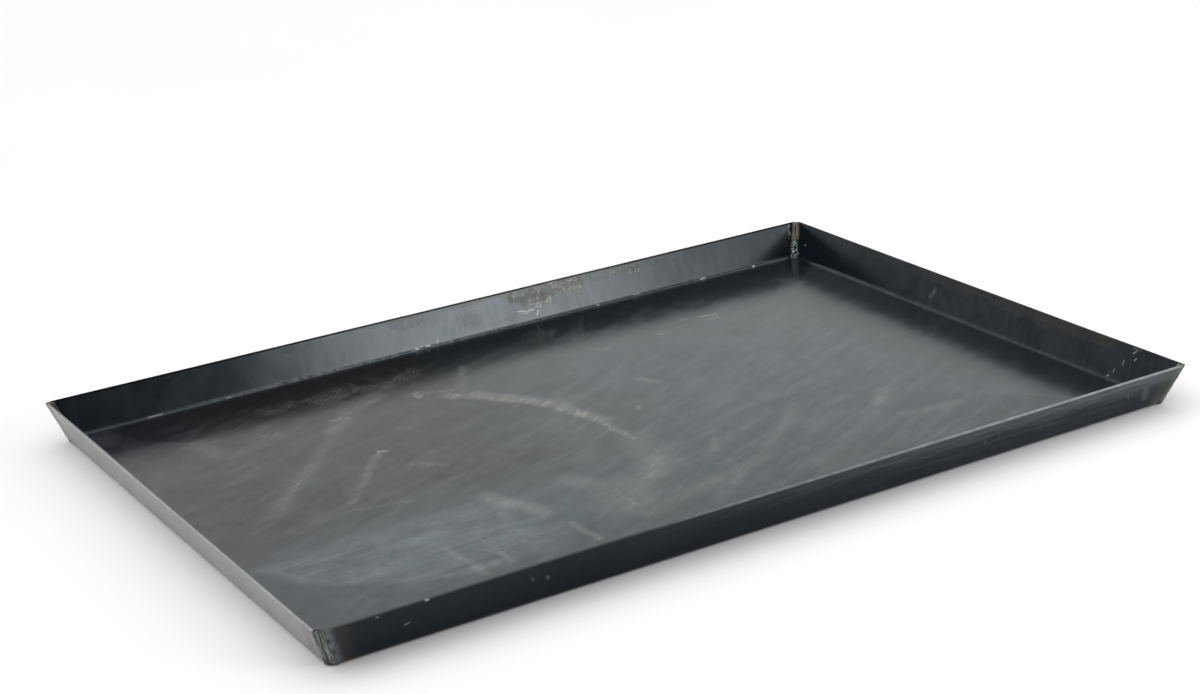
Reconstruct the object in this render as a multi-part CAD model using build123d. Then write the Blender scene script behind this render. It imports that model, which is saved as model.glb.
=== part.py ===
from build123d import *
import math
import os

# An open steel drain tray. One sheet makes the floor and the four flared walls, folded up round the
# floor. The wall ends stop short of each corner, and weld metal closes the gap: one run outside, ground
# off to a narrow flat, and one fillet run inside.
#
# Millimetres. +X runs along the long side, +Y along the short side and +Z up. The origin is the middle
# of the underside, where the tray rests.

# ---------------------------------------------------------------- driving dimensions

RIM_LENGTH = 600.0          # over the outer edges of the rim, along X
RIM_WIDTH = 411.0           # over the outer edges of the rim, along Y
TRAY_HEIGHT = 26.7          # underside to the inner edge of the rim, the highest line
SHEET = 2.0                 # sheet thickness
WALL_ANGLE = 70.0           # degrees that each wall is folded up from the floor
INNER_BEND_RADIUS = 3.0     # inside radius of the folds
FACET_WIDTH = 6.4           # flat ground along the outside of each corner
FACET_FOOT_CHAMFER = 1.2    # the flat is broken back by this much where it meets the ground
BEAD_WIDTH = 6.0            # face of the inside fillet run, toe to toe
BEAD_CROWN = 0.7            # how far that face bulges at its middle
ROOT_HEIGHT = 0.5           # the inside run's root stays this far above the underside
FLOOR_BORDER = 20.0         # strip of floor drawn together with each fold

# ---------------------------------------------------------------- worked out from them

FOLD = math.radians(WALL_ANGLE)
LEAN = 1 / math.tan(FOLD)                        # outward run of a wall for each unit of height
SHEET_ACROSS = SHEET / math.sin(FOLD)            # the wall's thickness, measured level
OUTER_RIM_Z = TRAY_HEIGHT - SHEET * math.cos(FOLD)
OUTER_BEND_RADIUS = INNER_BEND_RADIUS + SHEET
BEND_SETBACK = OUTER_BEND_RADIUS * math.tan(FOLD / 2)
FOOT_X = RIM_LENGTH / 2 - OUTER_RIM_Z * LEAN     # where the outer wall planes meet the ground
FOOT_Y = RIM_WIDTH / 2 - OUTER_RIM_Z * LEAN
FLAT_X = FOOT_X - BEND_SETBACK                   # half size of the flat underside
FLAT_Y = FOOT_Y - BEND_SETBACK
END_GAP = FACET_WIDTH / math.sqrt(2)             # from the sharp outer corner to a wall's end
BEAD_LEG = BEAD_WIDTH / math.sqrt(2)             # from the sharp inner corner to a toe of the bead
CROWN_STEP = BEAD_CROWN / math.sqrt(2)
PAST_RIM = 2 * TRAY_HEIGHT                       # a reach that is sure to pass the rim


# ---------------------------------------------------------------- the folded sheet


def wall_section(flat_edge):
    """Section through a strip of floor, its fold and its wall. The fold begins at flat_edge."""

    def on_bend(radius, angle):
        return (flat_edge + radius * math.sin(angle), OUTER_BEND_RADIUS - radius * math.cos(angle))

    border = flat_edge - FLOOR_BORDER
    rim_outer = (flat_edge + BEND_SETBACK + OUTER_RIM_Z * LEAN, OUTER_RIM_Z)
    rim_inner = (rim_outer[0] - SHEET * math.sin(FOLD), TRAY_HEIGHT)
    outer_end = on_bend(OUTER_BEND_RADIUS, FOLD)
    inner_end = on_bend(INNER_BEND_RADIUS, FOLD)
    outline = [
        Line((border, 0), (flat_edge, 0)),
        ThreePointArc((flat_edge, 0), on_bend(OUTER_BEND_RADIUS, FOLD / 2), outer_end),
        Line(outer_end, rim_outer),
        Line(rim_outer, rim_inner),
        Line(rim_inner, inner_end),
        ThreePointArc(inner_end, on_bend(INNER_BEND_RADIUS, FOLD / 2), (flat_edge, SHEET)),
        Line((flat_edge, SHEET), (border, SHEET)),
        Line((border, SHEET), (border, 0)),
    ]
    return Face(Wire(outline))


def upright_block(*corners):
    """A block with this outline on the ground, tall enough to pass the rim."""
    outline = Polyline(*corners, close=True)
    return Solid.extrude(Face(Wire(outline.edges())), Vector(0, 0, PAST_RIM))


def mitred_wall(half_along, half_across, turn):
    """One wall with its fold and floor border, mitred at both ends and turned about Z into place."""
    half_reach = half_along + PAST_RIM
    start = Plane(origin=(-half_reach, 0, 0), x_dir=(0, 1, 0), z_dir=(1, 0, 0))
    strip = Solid.extrude(start * wall_section(half_across), Vector(2 * half_reach, 0, 0))
    near = half_across - FLOOR_BORDER
    far = half_across + PAST_RIM
    mitres = upright_block(
        (-half_along + FLOOR_BORDER, near),
        (half_along - FLOOR_BORDER, near),
        (half_along + PAST_RIM, far),
        (-half_along - PAST_RIM, far),
    )
    return Rotation(0, 0, turn) * (strip & mitres)


def pressed_shell():
    """Floor and four walls as one skin with closed, mitred corners."""
    floor = Pos(0, 0, SHEET / 2) * Box(2 * (FLAT_X - FLOOR_BORDER), 2 * (FLAT_Y - FLOOR_BORDER), SHEET)
    walls = [
        mitred_wall(FLAT_X, FLAT_Y, 0),
        mitred_wall(FLAT_Y, FLAT_X, 90),
        mitred_wall(FLAT_X, FLAT_Y, 180),
        mitred_wall(FLAT_Y, FLAT_X, 270),
    ]
    return floor.fuse(*walls).clean()


# ---------------------------------------------------------------- one corner, at +X +Y


def inward(along_x, along_y):
    """A ground point of a corner outline, in distances inwards from the sharp outer corner."""
    return (FOOT_X - along_x, FOOT_Y - along_y)


def corner_bar(outline):
    """A bar with this level outline that follows the leaning corner from the ground past the rim."""
    rise = Vector(LEAN * PAST_RIM, LEAN * PAST_RIM, PAST_RIM)
    return Solid.extrude(Face(Wire(outline)), rise)


def closed_outline(*points):
    return Polyline(*points, close=True).edges()


def corner_notch():
    """The space between the wall ends, which the sheet leaves open."""
    beyond = -PAST_RIM
    return corner_bar(
        closed_outline(
            inward(beyond, beyond),
            inward(END_GAP, beyond),
            inward(END_GAP, END_GAP),
            inward(beyond, END_GAP),
        )
    )


def under_rim(bar):
    """Trim a corner bar to the square-cut top edges of both walls, and to the rim's highest line."""
    rim_point = Vector(RIM_LENGTH / 2, RIM_WIDTH / 2, OUTER_RIM_Z)
    for outwards in (Vector(1, 0, 0), Vector(0, 1, 0)):
        top_normal = outwards * math.cos(FOLD) + Vector(0, 0, math.sin(FOLD))
        bar = bar.split(Plane(origin=rim_point, z_dir=top_normal), keep=Keep.BOTTOM)
    return bar.split(Plane(origin=(0, 0, TRAY_HEIGHT)), keep=Keep.BOTTOM)


def outside_run():
    """Weld metal between the wall ends, ground to a flat that cuts the sharp corner off."""
    facet_bar = corner_bar(
        closed_outline(
            inward(END_GAP, 0),
            inward(END_GAP, SHEET_ACROSS),
            inward(SHEET_ACROSS, END_GAP),
            inward(0, END_GAP),
        )
    )
    # The foot of the flat is broken back at 45 degrees to the ground.
    facet_depth = END_GAP / 2
    chamfer_step = FACET_FOOT_CHAMFER / math.sqrt(2)
    chamfer_start = Vector(*inward(facet_depth + chamfer_step, facet_depth + chamfer_step), 0)
    foot_normal = Vector(1, 1, -math.sqrt(2)).normalized()
    return under_rim(facet_bar).split(Plane(origin=chamfer_start, z_dir=foot_normal), keep=Keep.BOTTOM)


def inside_run(sheet):
    """Fillet bead up the inner corner, from the floor to the rim, with its root between the walls."""
    toe = SHEET_ACROSS + BEAD_LEG
    crown = SHEET_ACROSS + BEAD_LEG / 2 + CROWN_STEP
    bead_bar = corner_bar(
        [
            Line(inward(END_GAP, SHEET_ACROSS), inward(toe, SHEET_ACROSS)),
            ThreePointArc(inward(toe, SHEET_ACROSS), inward(crown, crown), inward(SHEET_ACROSS, toe)),
            Line(inward(SHEET_ACROSS, toe), inward(SHEET_ACROSS, END_GAP)),
            Line(inward(SHEET_ACROSS, END_GAP), inward(END_GAP, SHEET_ACROSS)),
        ]
    )
    above_root = bead_bar.split(Plane(origin=(0, 0, ROOT_HEIGHT)), keep=Keep.TOP)
    return under_rim(above_root) - sheet


# ---------------------------------------------------------------- the whole tray


def at_all_corners(name, piece):
    """The same piece at the four corners, mirrored across the tray's middle planes."""
    right = piece
    left = mirror(piece, about=Plane.YZ)
    return {
        f"{name}_back_right": right,
        f"{name}_back_left": left,
        f"{name}_front_right": mirror(right, about=Plane.XZ),
        f"{name}_front_left": mirror(left, about=Plane.XZ),
    }


def build_tray():
    sheet = pressed_shell()
    for notch in at_all_corners("notch", corner_notch()).values():
        sheet = sheet - notch
    nodes = {"folded_sheet": sheet}
    nodes.update(at_all_corners("outside_weld", outside_run()))
    nodes.update(at_all_corners("inside_weld", inside_run(sheet)))
    return nodes


os.makedirs("parts", exist_ok=True)
for node_name, solid in build_tray().items():
    export_step(solid, f"parts/{node_name}.step")
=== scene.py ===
import math

import bmesh
import bpy
from mathutils import Matrix, Vector, noise


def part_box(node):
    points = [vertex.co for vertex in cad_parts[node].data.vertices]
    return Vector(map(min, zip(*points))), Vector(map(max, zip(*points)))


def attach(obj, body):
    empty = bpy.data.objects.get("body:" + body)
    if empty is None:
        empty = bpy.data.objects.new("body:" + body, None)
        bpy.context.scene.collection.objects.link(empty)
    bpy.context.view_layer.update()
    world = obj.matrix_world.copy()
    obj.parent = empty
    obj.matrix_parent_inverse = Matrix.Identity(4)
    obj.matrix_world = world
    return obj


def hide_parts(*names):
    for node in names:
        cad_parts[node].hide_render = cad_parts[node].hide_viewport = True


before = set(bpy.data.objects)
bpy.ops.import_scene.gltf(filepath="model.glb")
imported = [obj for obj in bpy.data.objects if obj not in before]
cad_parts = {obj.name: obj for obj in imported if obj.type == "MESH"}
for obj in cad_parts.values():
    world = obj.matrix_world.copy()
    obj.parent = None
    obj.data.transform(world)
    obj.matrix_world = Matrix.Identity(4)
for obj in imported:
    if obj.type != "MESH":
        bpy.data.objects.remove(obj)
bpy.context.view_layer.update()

# A blackened steel drain tray in a pale studio. One folded sheet and the weld runs in its corners.
# Metres. +X runs along the long side, +Y along the short side (back), +Z up.

MM = 0.001

# ---------------------------------------------------------------- sizes, from the frame and the design

SHEET_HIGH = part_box("folded_sheet")[1]
RIM_X = SHEET_HIGH[0]                       # the rim's outer edge, half the length
RIM_Y = SHEET_HIGH[1]                       # the rim's outer edge, half the width
HEIGHT = SHEET_HIGH[2]
SHEET = 2.0 * MM
FOLD = math.radians(70)                     # each wall is folded up this far from the floor
INNER_BEND = 3.0 * MM
FACET_WIDTH = 6.4 * MM                      # flat ground along each outside corner
BEAD_WIDTH = 6.0 * MM                       # face of each inside bead, toe to toe
EDGE_ROUND = 0.3 * MM                       # what use has taken off the rim's sheared edges
FOLD_CRACK_CLIMB = 2.7                      # mm up the fold's curve, where its scale has cracked

FLOOR_BOW = 0.35 * MM                       # the most that the floor stands up from flat
FLOOR_BOW_REACH = 60 * MM                   # it begins at the folds and is full this far in
WALL_SWAY = 0.45 * MM                       # the most that a rim leans in
RIM_DIP = 0.12 * MM                         # the most that a rim dips
CORNER_HOLD = (12 * MM, 70 * MM)            # from a corner: held still up to the first, free past the second

LEAN = 1 / math.tan(FOLD)
SHEET_ACROSS = SHEET / math.sin(FOLD)
OUTER_RIM_Z = HEIGHT - SHEET * math.cos(FOLD)
OUTER_BEND = INNER_BEND + SHEET
BEND_SETBACK = OUTER_BEND * math.tan(FOLD / 2)
FOOT_X = RIM_X - OUTER_RIM_Z * LEAN
FOOT_Y = RIM_Y - OUTER_RIM_Z * LEAN
FLAT_X = FOOT_X - BEND_SETBACK
FLAT_Y = FOOT_Y - BEND_SETBACK
END_GAP = FACET_WIDTH / math.sqrt(2)        # from the sharp outer corner to a wall's end
BEAD_LEG = BEAD_WIDTH / math.sqrt(2)

UP_WALL = Vector((math.cos(FOLD), math.sin(FOLD)))      # in a wall's section: outwards, up
INTO_TRAY = Vector((-math.sin(FOLD), math.cos(FOLD)))

CORNERS = {
    "front_left": (-1, -1),
    "front_right": (1, -1),
    "back_left": (-1, 1),
    "back_right": (1, 1),
}

# How far each ground facet stands out in its middle: the front right corner was hardly ground.
FULLNESS = {
    "front_left": 0.2 * MM,
    "front_right": 1.2 * MM,
    "back_left": 1.3 * MM,
    "back_right": 0.5 * MM,
}


# ---------------------------------------------------------------- the camera

EYE = (-0.702, -1.1815, 0.5483)
YAW = math.radians(59.41)                   # from +X towards +Y
PITCH = math.radians(19.88)                 # downwards
ROLL = math.radians(-3.24)
LENS = 69.5                                 # mm, on a sensor of the width below
SENSOR_WIDTH = 36.0

# ---------------------------------------------------------------- colours, linear

SCALE_BLACK = (0.003, 0.006, 0.009)
SCALE_BLUE = (0.005, 0.008, 0.012)
SCALE_OPEN = (0.002, 0.017, 0.018)          # away from the folds, where the floor is wiped most
SCALE_VIOLET = (0.011, 0.010, 0.014)
SCALE_BROWN = (0.011, 0.010, 0.008)
COLD_RESIDUE_AND_PAINTED_LIGHT = (0.38, 0.42, 0.45)
WARM_RESIDUE = (0.54, 0.54, 0.48)
DUST_AND_SHEEN = (0.30, 0.30, 0.30)
STAIN = (0.050, 0.040, 0.028)
RUBBED_STEEL_AND_HIGHLIGHT = (0.40, 0.42, 0.43)
BARE_STEEL = (0.62, 0.61, 0.58)
COLD_GLINT = (0.86, 0.96, 1.0)
GROOVE_DARK = (0.030, 0.036, 0.034)
GROOVE_LIGHT = (0.190, 0.215, 0.200)
SEAM = (0.012, 0.014, 0.014)
FOOT_OLIVE = (0.13, 0.12, 0.08)
FOOT_BLACK = (0.015, 0.018, 0.018)
BEAD_TAN_DARK = (0.022, 0.020, 0.014)
BEAD_TAN_LIGHT = (0.230, 0.215, 0.150)
BEAD_DARK = (0.012, 0.018, 0.020)
BEAD_LIGHT = (0.150, 0.190, 0.190)
BEAD_PAINTED_GLINT = (0.75, 0.82, 0.80)
LEFT_BEAD_SHADE = (0.012, 0.012, 0.011)
PAPER_LOW = (0.86, 0.86, 0.86)
PAPER_HIGH = (0.88, 0.88, 0.88)
STEEL_IOR = 1.5


def smooth_step(value, low, high):
    """Smoothly from 0, where value is low or less, to 1, where it is high or more."""
    t = min(max((value - low) / (high - low), 0.0), 1.0)
    return t * t * (3 - 2 * t)


# ---------------------------------------------------------------- node trees


class Tree:
    """Builds a node tree. Every call returns an output socket.

    A node is always made after the nodes that feed it, and none has its own clamp switched on. The renderer
    works through them in the order they were made, with its clamps last of all, and it has room for few
    results that still wait to be used.
    """

    def __init__(self, tree):
        self.nodes = tree.nodes
        self.links = tree.links
        self.nodes.clear()

    def feed(self, socket, value):
        if isinstance(value, bpy.types.NodeSocket):
            self.links.new(value, socket)
        elif value is not None:
            socket.default_value = value

    def math(self, operation, a, b=None, c=None):
        node = self.nodes.new("ShaderNodeMath")
        node.operation = operation
        for socket, value in zip(node.inputs, (a, b, c)):
            self.feed(socket, value)
        return node.outputs[0]

    def add(self, a, b):
        return self.math("ADD", a, b)

    def times(self, *values):
        result = values[0]
        for value in values[1:]:
            result = self.math("MULTIPLY", result, value)
        return result

    def most(self, *values):
        result = values[0]
        for value in values[1:]:
            result = self.math("MAXIMUM", result, value)
        return result

    def invert(self, value):
        return self.math("SUBTRACT", 1.0, value)

    def fade(self, value, low, high, to_low=0.0, to_high=1.0):
        """Smoothly from to_low, where value is low, to to_high, where it is high."""
        node = self.nodes.new("ShaderNodeMapRange")
        node.interpolation_type = "SMOOTHSTEP"
        node.clamp = False
        for name, number in zip(
            ("Value", "From Min", "From Max", "To Min", "To Max"), (value, low, high, to_low, to_high)
        ):
            self.feed(node.inputs[name], number)
        return node.outputs["Result"]

    def band(self, value, low, high, soft):
        """1 between low and high, fading to 0 over soft on each side."""
        return self.times(self.fade(value, low - soft, low), self.fade(value, high, high + soft, 1.0, 0.0))

    def strayed(self, value, texture, reach):
        """The value pushed up and down by the texture, so that what fades along it gets a ragged edge."""
        return self.add(value, self.times(self.add(texture, -0.5), reach))

    def colour(self, factor, a, b):
        node = self.nodes.new("ShaderNodeMix")
        node.clamp_factor = False
        node.data_type = "RGBA"
        self.feed(node.inputs["Factor"], factor)
        for socket, value in ((node.inputs[6], a), (node.inputs[7], b)):
            self.feed(socket, (*value, 1.0) if isinstance(value, tuple) else value)
        return node.outputs[2]

    def mix(self, factor, a, b):
        node = self.nodes.new("ShaderNodeMix")
        node.clamp_factor = False
        node.data_type = "FLOAT"
        for socket, value in zip((node.inputs[0], node.inputs[2], node.inputs[3]), (factor, a, b)):
            self.feed(socket, value)
        return node.outputs[0]

    def attribute(self, name):
        node = self.nodes.new("ShaderNodeAttribute")
        node.attribute_name = name
        return node.outputs["Fac"]

    def place(self):
        """The surface's own place, in millimetres."""
        node = self.nodes.new("ShaderNodeTexCoord")
        return self.scaled(node.outputs["Object"], (1000.0, 1000.0, 1000.0))

    def scaled(self, vector, scale, turn=0.0):
        """The vector turned about Z by turn degrees, then scaled."""
        if turn:
            node = self.nodes.new("ShaderNodeVectorRotate")
            node.rotation_type = "Z_AXIS"
            self.feed(node.inputs["Vector"], vector)
            node.inputs["Angle"].default_value = math.radians(turn)
            vector = node.outputs[0]
        node = self.nodes.new("ShaderNodeVectorMath")
        node.operation = "MULTIPLY"
        self.feed(node.inputs[0], vector)
        node.inputs[1].default_value = scale
        return node.outputs[0]

    def parts(self, vector):
        node = self.nodes.new("ShaderNodeSeparateXYZ")
        self.feed(node.inputs[0], vector)
        return node.outputs[0], node.outputs[1], node.outputs[2]

    def joined(self, x, y, z=0.0):
        node = self.nodes.new("ShaderNodeCombineXYZ")
        for socket, value in zip(node.inputs, (x, y, z)):
            self.feed(socket, value)
        return node.outputs[0]

    def noise(self, vector, size, detail=2.0, roughness=0.5, distortion=0.0):
        """Noise from 0 to 1 whose lumps are about size across, in the vector's units."""
        node = self.nodes.new("ShaderNodeTexNoise")
        self.feed(node.inputs["Vector"], vector)
        node.inputs["Scale"].default_value = 1 / size
        node.inputs["Detail"].default_value = detail
        node.inputs["Roughness"].default_value = roughness
        node.inputs["Distortion"].default_value = distortion
        return node.outputs["Fac"]

    def drawn_out(self, vector, length, width, turn, detail, roughness=0.5, distortion=0.0):
        """Noise whose lumps are about length by width, turned about Z by turn degrees."""
        stretched = self.scaled(vector, (1 / length, 1 / width, 1.0), turn)
        return self.noise(stretched, 1.0, detail, roughness, distortion)

    def spots(self, vector, size):
        """How far it is to the middle of the nearest of many spots that are about size apart."""
        node = self.nodes.new("ShaderNodeTexVoronoi")
        self.feed(node.inputs["Vector"], vector)
        node.inputs["Scale"].default_value = 1 / size
        return node.outputs["Distance"]

    def bump(self, height, distance, strength=1.0, normal=None):
        node = self.nodes.new("ShaderNodeBump")
        self.feed(node.inputs["Height"], height)
        node.inputs["Distance"].default_value = distance
        self.feed(node.inputs["Strength"], strength)
        if normal is not None:
            self.links.new(normal, node.inputs["Normal"])
        return node.outputs["Normal"]

    def vector(self, operation, a, b=None, output=0):
        node = self.nodes.new("ShaderNodeVectorMath")
        node.operation = operation
        self.feed(node.inputs[0], a)
        self.feed(node.inputs["Scale"] if operation == "SCALE" else node.inputs[1], b)
        return node.outputs[output]


class Shader(Tree):
    """Builds a material out of one principled surface."""

    def __init__(self, name):
        self.material = bpy.data.materials.new(name)
        self.material.use_nodes = True
        super().__init__(self.material.node_tree)

    def finish(self, **sockets):
        """The names are the principled surface's own sockets, with _ for a space."""
        shader = self.nodes.new("ShaderNodeBsdfPrincipled")
        for name, value in sockets.items():
            value = (*value, 1.0) if isinstance(value, tuple) else value
            self.feed(shader.inputs[name.replace("_", " ")], value)
        output = self.nodes.new("ShaderNodeOutputMaterial")
        self.links.new(shader.outputs[0], output.inputs["Surface"])
        return self.material


def streak(s, canvas, start, end, half, soft, strength):
    """As strong as given along the line from start to end, fading out past the half width."""
    start = Vector((*start, 0.0))
    along = Vector((*end, 0.0)) - start
    offset = s.vector("SUBTRACT", canvas, tuple(start))
    share = s.vector("DOT_PRODUCT", offset, tuple(along / max(along.length_squared, 1e-6)), output="Value")
    share = s.math("MINIMUM", s.most(share, 0.0), 1.0)
    away = s.vector("DISTANCE", offset, s.vector("SCALE", tuple(along), share), output="Value")
    return s.fade(away, half, half + soft, strength, 0.0)


def streaks(s, canvas, lines):
    """The strongest of several marks. Each is (start, end, half width, soft edge, strength)."""
    strongest = 0.0
    for line in lines:
        strongest = s.most(strongest, streak(s, canvas, *line))
    return strongest


# ---------------------------------------------------------------- marks
#
# Each mark is a short line in millimetres: start, end, half width, soft edge, strength. A place on the floor
# is (x, y). A place on a wall is how far along the wall it is and how far it has climbed from the fold line.

# Dried runs on the left half of the floor.
FLOOR_SMEARS = [
    ((-85, 147), (-100, 138), 1.0, 10.0, 0.55),
    ((-100, 135), (-127, 120), 2.0, 10.0, 0.9),
    ((-127, 120), (-150, 92), 1.0, 9.0, 0.75),
    ((-150, 92), (-190, 45), 0.5, 7.0, 0.55),
    ((-190, 45), (-228, 3), 0.5, 7.5, 0.7),
    ((-143, 43), (-165, 15), 0.5, 4.5, 0.85),
    ((-165, 15), (-190, -15), 0.5, 5.0, 0.6),
    ((-27, 145), (-38, 125), 0.5, 5.0, 0.65),
    ((-38, 125), (-50, 108), 0.5, 7.0, 0.65),
    ((-160, -35), (-205, -25), 0.2, 3.0, 0.4),
    ((230, 12), (255, 3), 0.5, 4.0, 0.4),
]

# Part of a ring, and what was wiped out of it.
FLOOR_RING = [
    ((-62, 103), (-46, 92), 1.0, 8.0, 0.8),
    ((-46, 92), (-24, 64), 2.0, 9.0, 1.15),
    ((-24, 64), (-14, 45), 1.5, 10.0, 1.0),
    ((-14, 45), (-5, 2), 1.0, 9.0, 1.1),
    ((-5, 2), (-5, -37), 0.3, 6.0, 0.85),
    ((-12, 50), (-40, -30), 2.0, 30.0, 0.22),
    ((-5, -37), (-13, -80), 1.0, 20.0, 0.5),
    ((-13, -75), (-28, -92), 2.0, 14.0, 0.75),
    ((-45, -100), (-60, -115), 6.0, 22.0, 0.55),
    ((-55, 112), (-80, 120), 1.0, 6.0, 0.6),
    ((-122, -60), (-107, -97), 1.5, 9.0, 0.6),
    ((-70, -70), (-60, -88), 2.0, 12.0, 0.45),
]

# Strokes along the front of the floor.
FLOOR_WIPES = [
    ((-60, -138), (0, -122), 0.5, 11.0, 0.5),
    ((0, -122), (42, -112), 0.5, 9.0, 0.4),
    ((5, -132), (60, -95), 0.3, 6.0, 0.5),
    ((60, -95), (105, -55), 0.3, 6.0, 0.35),
    ((60, -145), (150, -90), 0.3, 8.0, 0.25),
    ((-101, -122), (-101, -150), 0.5, 3.5, 0.8),
    ((-175, -108), (-174, -150), 0.5, 4.0, 0.6),
    ((-155, -132), (-156, -148), 0.5, 3.5, 0.6),
    ((-135, 15), (-118, 0), 0.5, 6.0, 0.4),
    ((37, -68), (24, -84), 0.3, 4.5, 0.6),
]

# Single dabs and drops.
FLOOR_SPECKS = [
    ((155, 126), (167, 124), 0.6, 2.8, 1.1),
    ((157, 118), (165, 119), 0.4, 2.2, 0.9),
    ((140, 129), (145, 128), 0.4, 2.0, 1.0),
    ((53, 48), (61, 37), 0.5, 5.0, 0.7),
    ((24, 3), (27, 7), 0.5, 3.0, 0.7),
    ((165, -70), (150, -86), 0.5, 8.0, 0.5),
    ((150, -112), (190, -118), 0.5, 8.0, 0.4),
    ((-138, 43), (-142, 46), 0.6, 3.0, 1.0),
    ((-60, 104), (-55, 101), 1.2, 4.5, 1.2),
    ((-77, 121), (-78, 116), 1.2, 3.5, 1.2),
    ((-142, 112), (-133, 111), 1.2, 4.0, 1.0),
    ((-225, 108), (-226, 130), 1.5, 10.0, 0.45),
    ((60, 117), (68, 112), 0.5, 4.0, 0.5),
    ((110, 115), (112, 114), 0.4, 1.6, 0.9),
    ((-235, 128), (-215, 128), 0.5, 6.0, 0.4),
]

# Where droplets have dried.
FLOOR_SPATTER = [
    ((-175, 158), (-120, 150), 4.0, 10.0, 0.7),
    ((-120, 152), (-65, 160), 6.0, 10.0, 0.8),
    ((-60, 122), (-150, 132), 6.0, 14.0, 0.35),
    ((10, 122), (130, 122), 4.0, 12.0, 0.3),
]

# Scale scraped off beneath the back rim.
BACK_SCRAPES = [
    ((46, 24), (64, 15), 2.0, 7.0, 1.0),
    ((60, 25), (74, 13), 1.0, 6.0, 0.9),
    ((78, 26), (98, 20), 1.0, 7.0, 0.95),
    ((94, 24), (98, 12), 0.3, 4.0, 0.8),
    ((128, 23), (150, 22), 0.5, 6.0, 0.7),
    ((40, 25), (110, 26), 0.5, 5.0, 0.6),
    ((292, 26), (290, 16), 0.5, 3.0, 0.6),
]

# Residue caught under the back rim.
BACK_UNDER_RIM = [
    ((-95, 25.5), (-20, 25.5), 0.3, 2.2, 0.5),
    ((-20, 25.5), (150, 25.5), 0.4, 2.6, 0.7),
    ((-25, 20), (46, 20.5), 0.1, 1.2, 0.4),
]

# Bare scratches and cracked scale on the back wall.
BACK_SCRATCHES = [
    ((47, 11.3), (53, 10.8), 0.05, 0.55, 0.8),
    ((54, 10.9), (60, 10.2), 0.05, 0.6, 0.7),
    ((49, 9.4), (56, 9.8), 0.05, 0.5, 0.5),
    ((61, 6.0), (63, 9.0), 0.05, 0.6, 0.8),
    ((65, 10.0), (66.5, 13.0), 0.05, 0.6, 0.6),
    ((-37, 3.4), (-35, 3.2), 0.2, 0.7, 0.9),
    ((-33, 3.9), (-32, 4.2), 0.1, 0.6, 0.6),
    ((-29, 3.2), (-26, 3.3), 0.2, 0.7, 0.9),
    ((-20, 4.4), (-19.5, 5.4), 0.1, 0.6, 0.7),
    ((-10, 3.6), (-9, 3.6), 0.1, 0.6, 0.4),
    ((202, 2.4), (206, 2.3), 0.1, 0.7, 0.9),
    ((250, 2.4), (251, 2.4), 0.2, 0.8, 0.9),
    ((111, 2.4), (113, 2.4), 0.1, 0.7, 0.5),
    ((143, 3.0), (148, 3.2), 0.1, 0.7, 0.3),
    ((-236, 2.2), (-226, 2.2), 0.05, 0.6, 0.5),
    ((-180, 2.2), (-178, 2.3), 0.05, 0.6, 0.5),
]

# Brown stains on the back wall.
BACK_STAINS = [
    ((0, 15), (14, 13), 0.5, 9.0, 0.5),
    ((-52, 22), (-18, 21), 0.5, 8.0, 0.55),
    ((44, 22), (76, 19), 1.0, 8.0, 0.75),
    ((76, 24), (104, 22), 1.0, 6.0, 0.6),
    ((104, 23), (175, 24), 1.0, 6.0, 0.45),
    ((104, 17), (122, 15), 0.5, 6.0, 0.3),
    ((5, 8), (38, 8), 0.2, 3.0, 0.35),
    ((-133, 23), (-112, 24), 0.3, 3.5, 0.6),
    ((283, 22), (287, 8), 0.5, 5.0, 0.7),
]

# Bright chips on the right wall.
RIGHT_CHIPS = [
    ((-164, 25.5), (-161.5, 23.5), 0.1, 0.6, 0.9),
    ((-165.5, 21.0), (-164.5, 19.5), 0.2, 0.6, 0.8),
    ((-156, 16.5), (-155.5, 14.0), 0.2, 0.8, 0.45),
    ((-150, 9.5), (-149.5, 7.5), 0.2, 0.8, 0.4),
    ((-146, 4.5), (-145, 3.5), 0.2, 0.7, 0.7),
    ((33, 16), (36, 11), 0.2, 3.0, 0.2),
    ((-168, 26.6), (-160, 26.6), 0.05, 0.6, 0.4),
    ((186, 12), (186.5, 12), 0.2, 0.7, 1.0),
]

# Brown stains on the right wall.
RIGHT_STAINS = [
    ((-140, 25), (-70, 23), 1.0, 9.0, 0.8),
    ((-70, 23), (60, 25), 0.5, 8.0, 0.7),
    ((60, 25), (150, 25), 0.5, 6.0, 0.5),
]

# Knocks on the outside of the front wall.
FRONT_KNOCKS = [
    ((-265.6, 27.0), (-264.4, 27.0), 0.1, 0.7, 1.8),
    ((-237.2, 27.2), (-235.6, 27.2), 0.1, 0.7, 2.2),
    ((-248, 15), (-246, 15.5), 0.3, 0.9, 1.0),
    ((-163.5, 18), (-162.5, 15.5), 0.4, 0.9, 0.5),
    ((-173, 20), (-172, 18), 0.4, 1.2, 0.3),
    ((139, 18), (139.5, 14), 0.2, 0.9, 0.45),
    ((150, 18), (150, 16), 0.2, 0.9, 0.35),
    ((178, 19), (178, 17), 0.2, 0.9, 0.4),
    ((182, 18), (184, 10), 0.1, 0.8, 0.25),
    ((254, 17), (255, 13), 0.2, 0.9, 0.6),
    ((268, 19), (270, 11), 0.8, 4.0, 0.55),
    ((163, 3), (165, 2), 0.2, 1.0, 0.4),
]


# ---------------------------------------------------------------- materials


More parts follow.
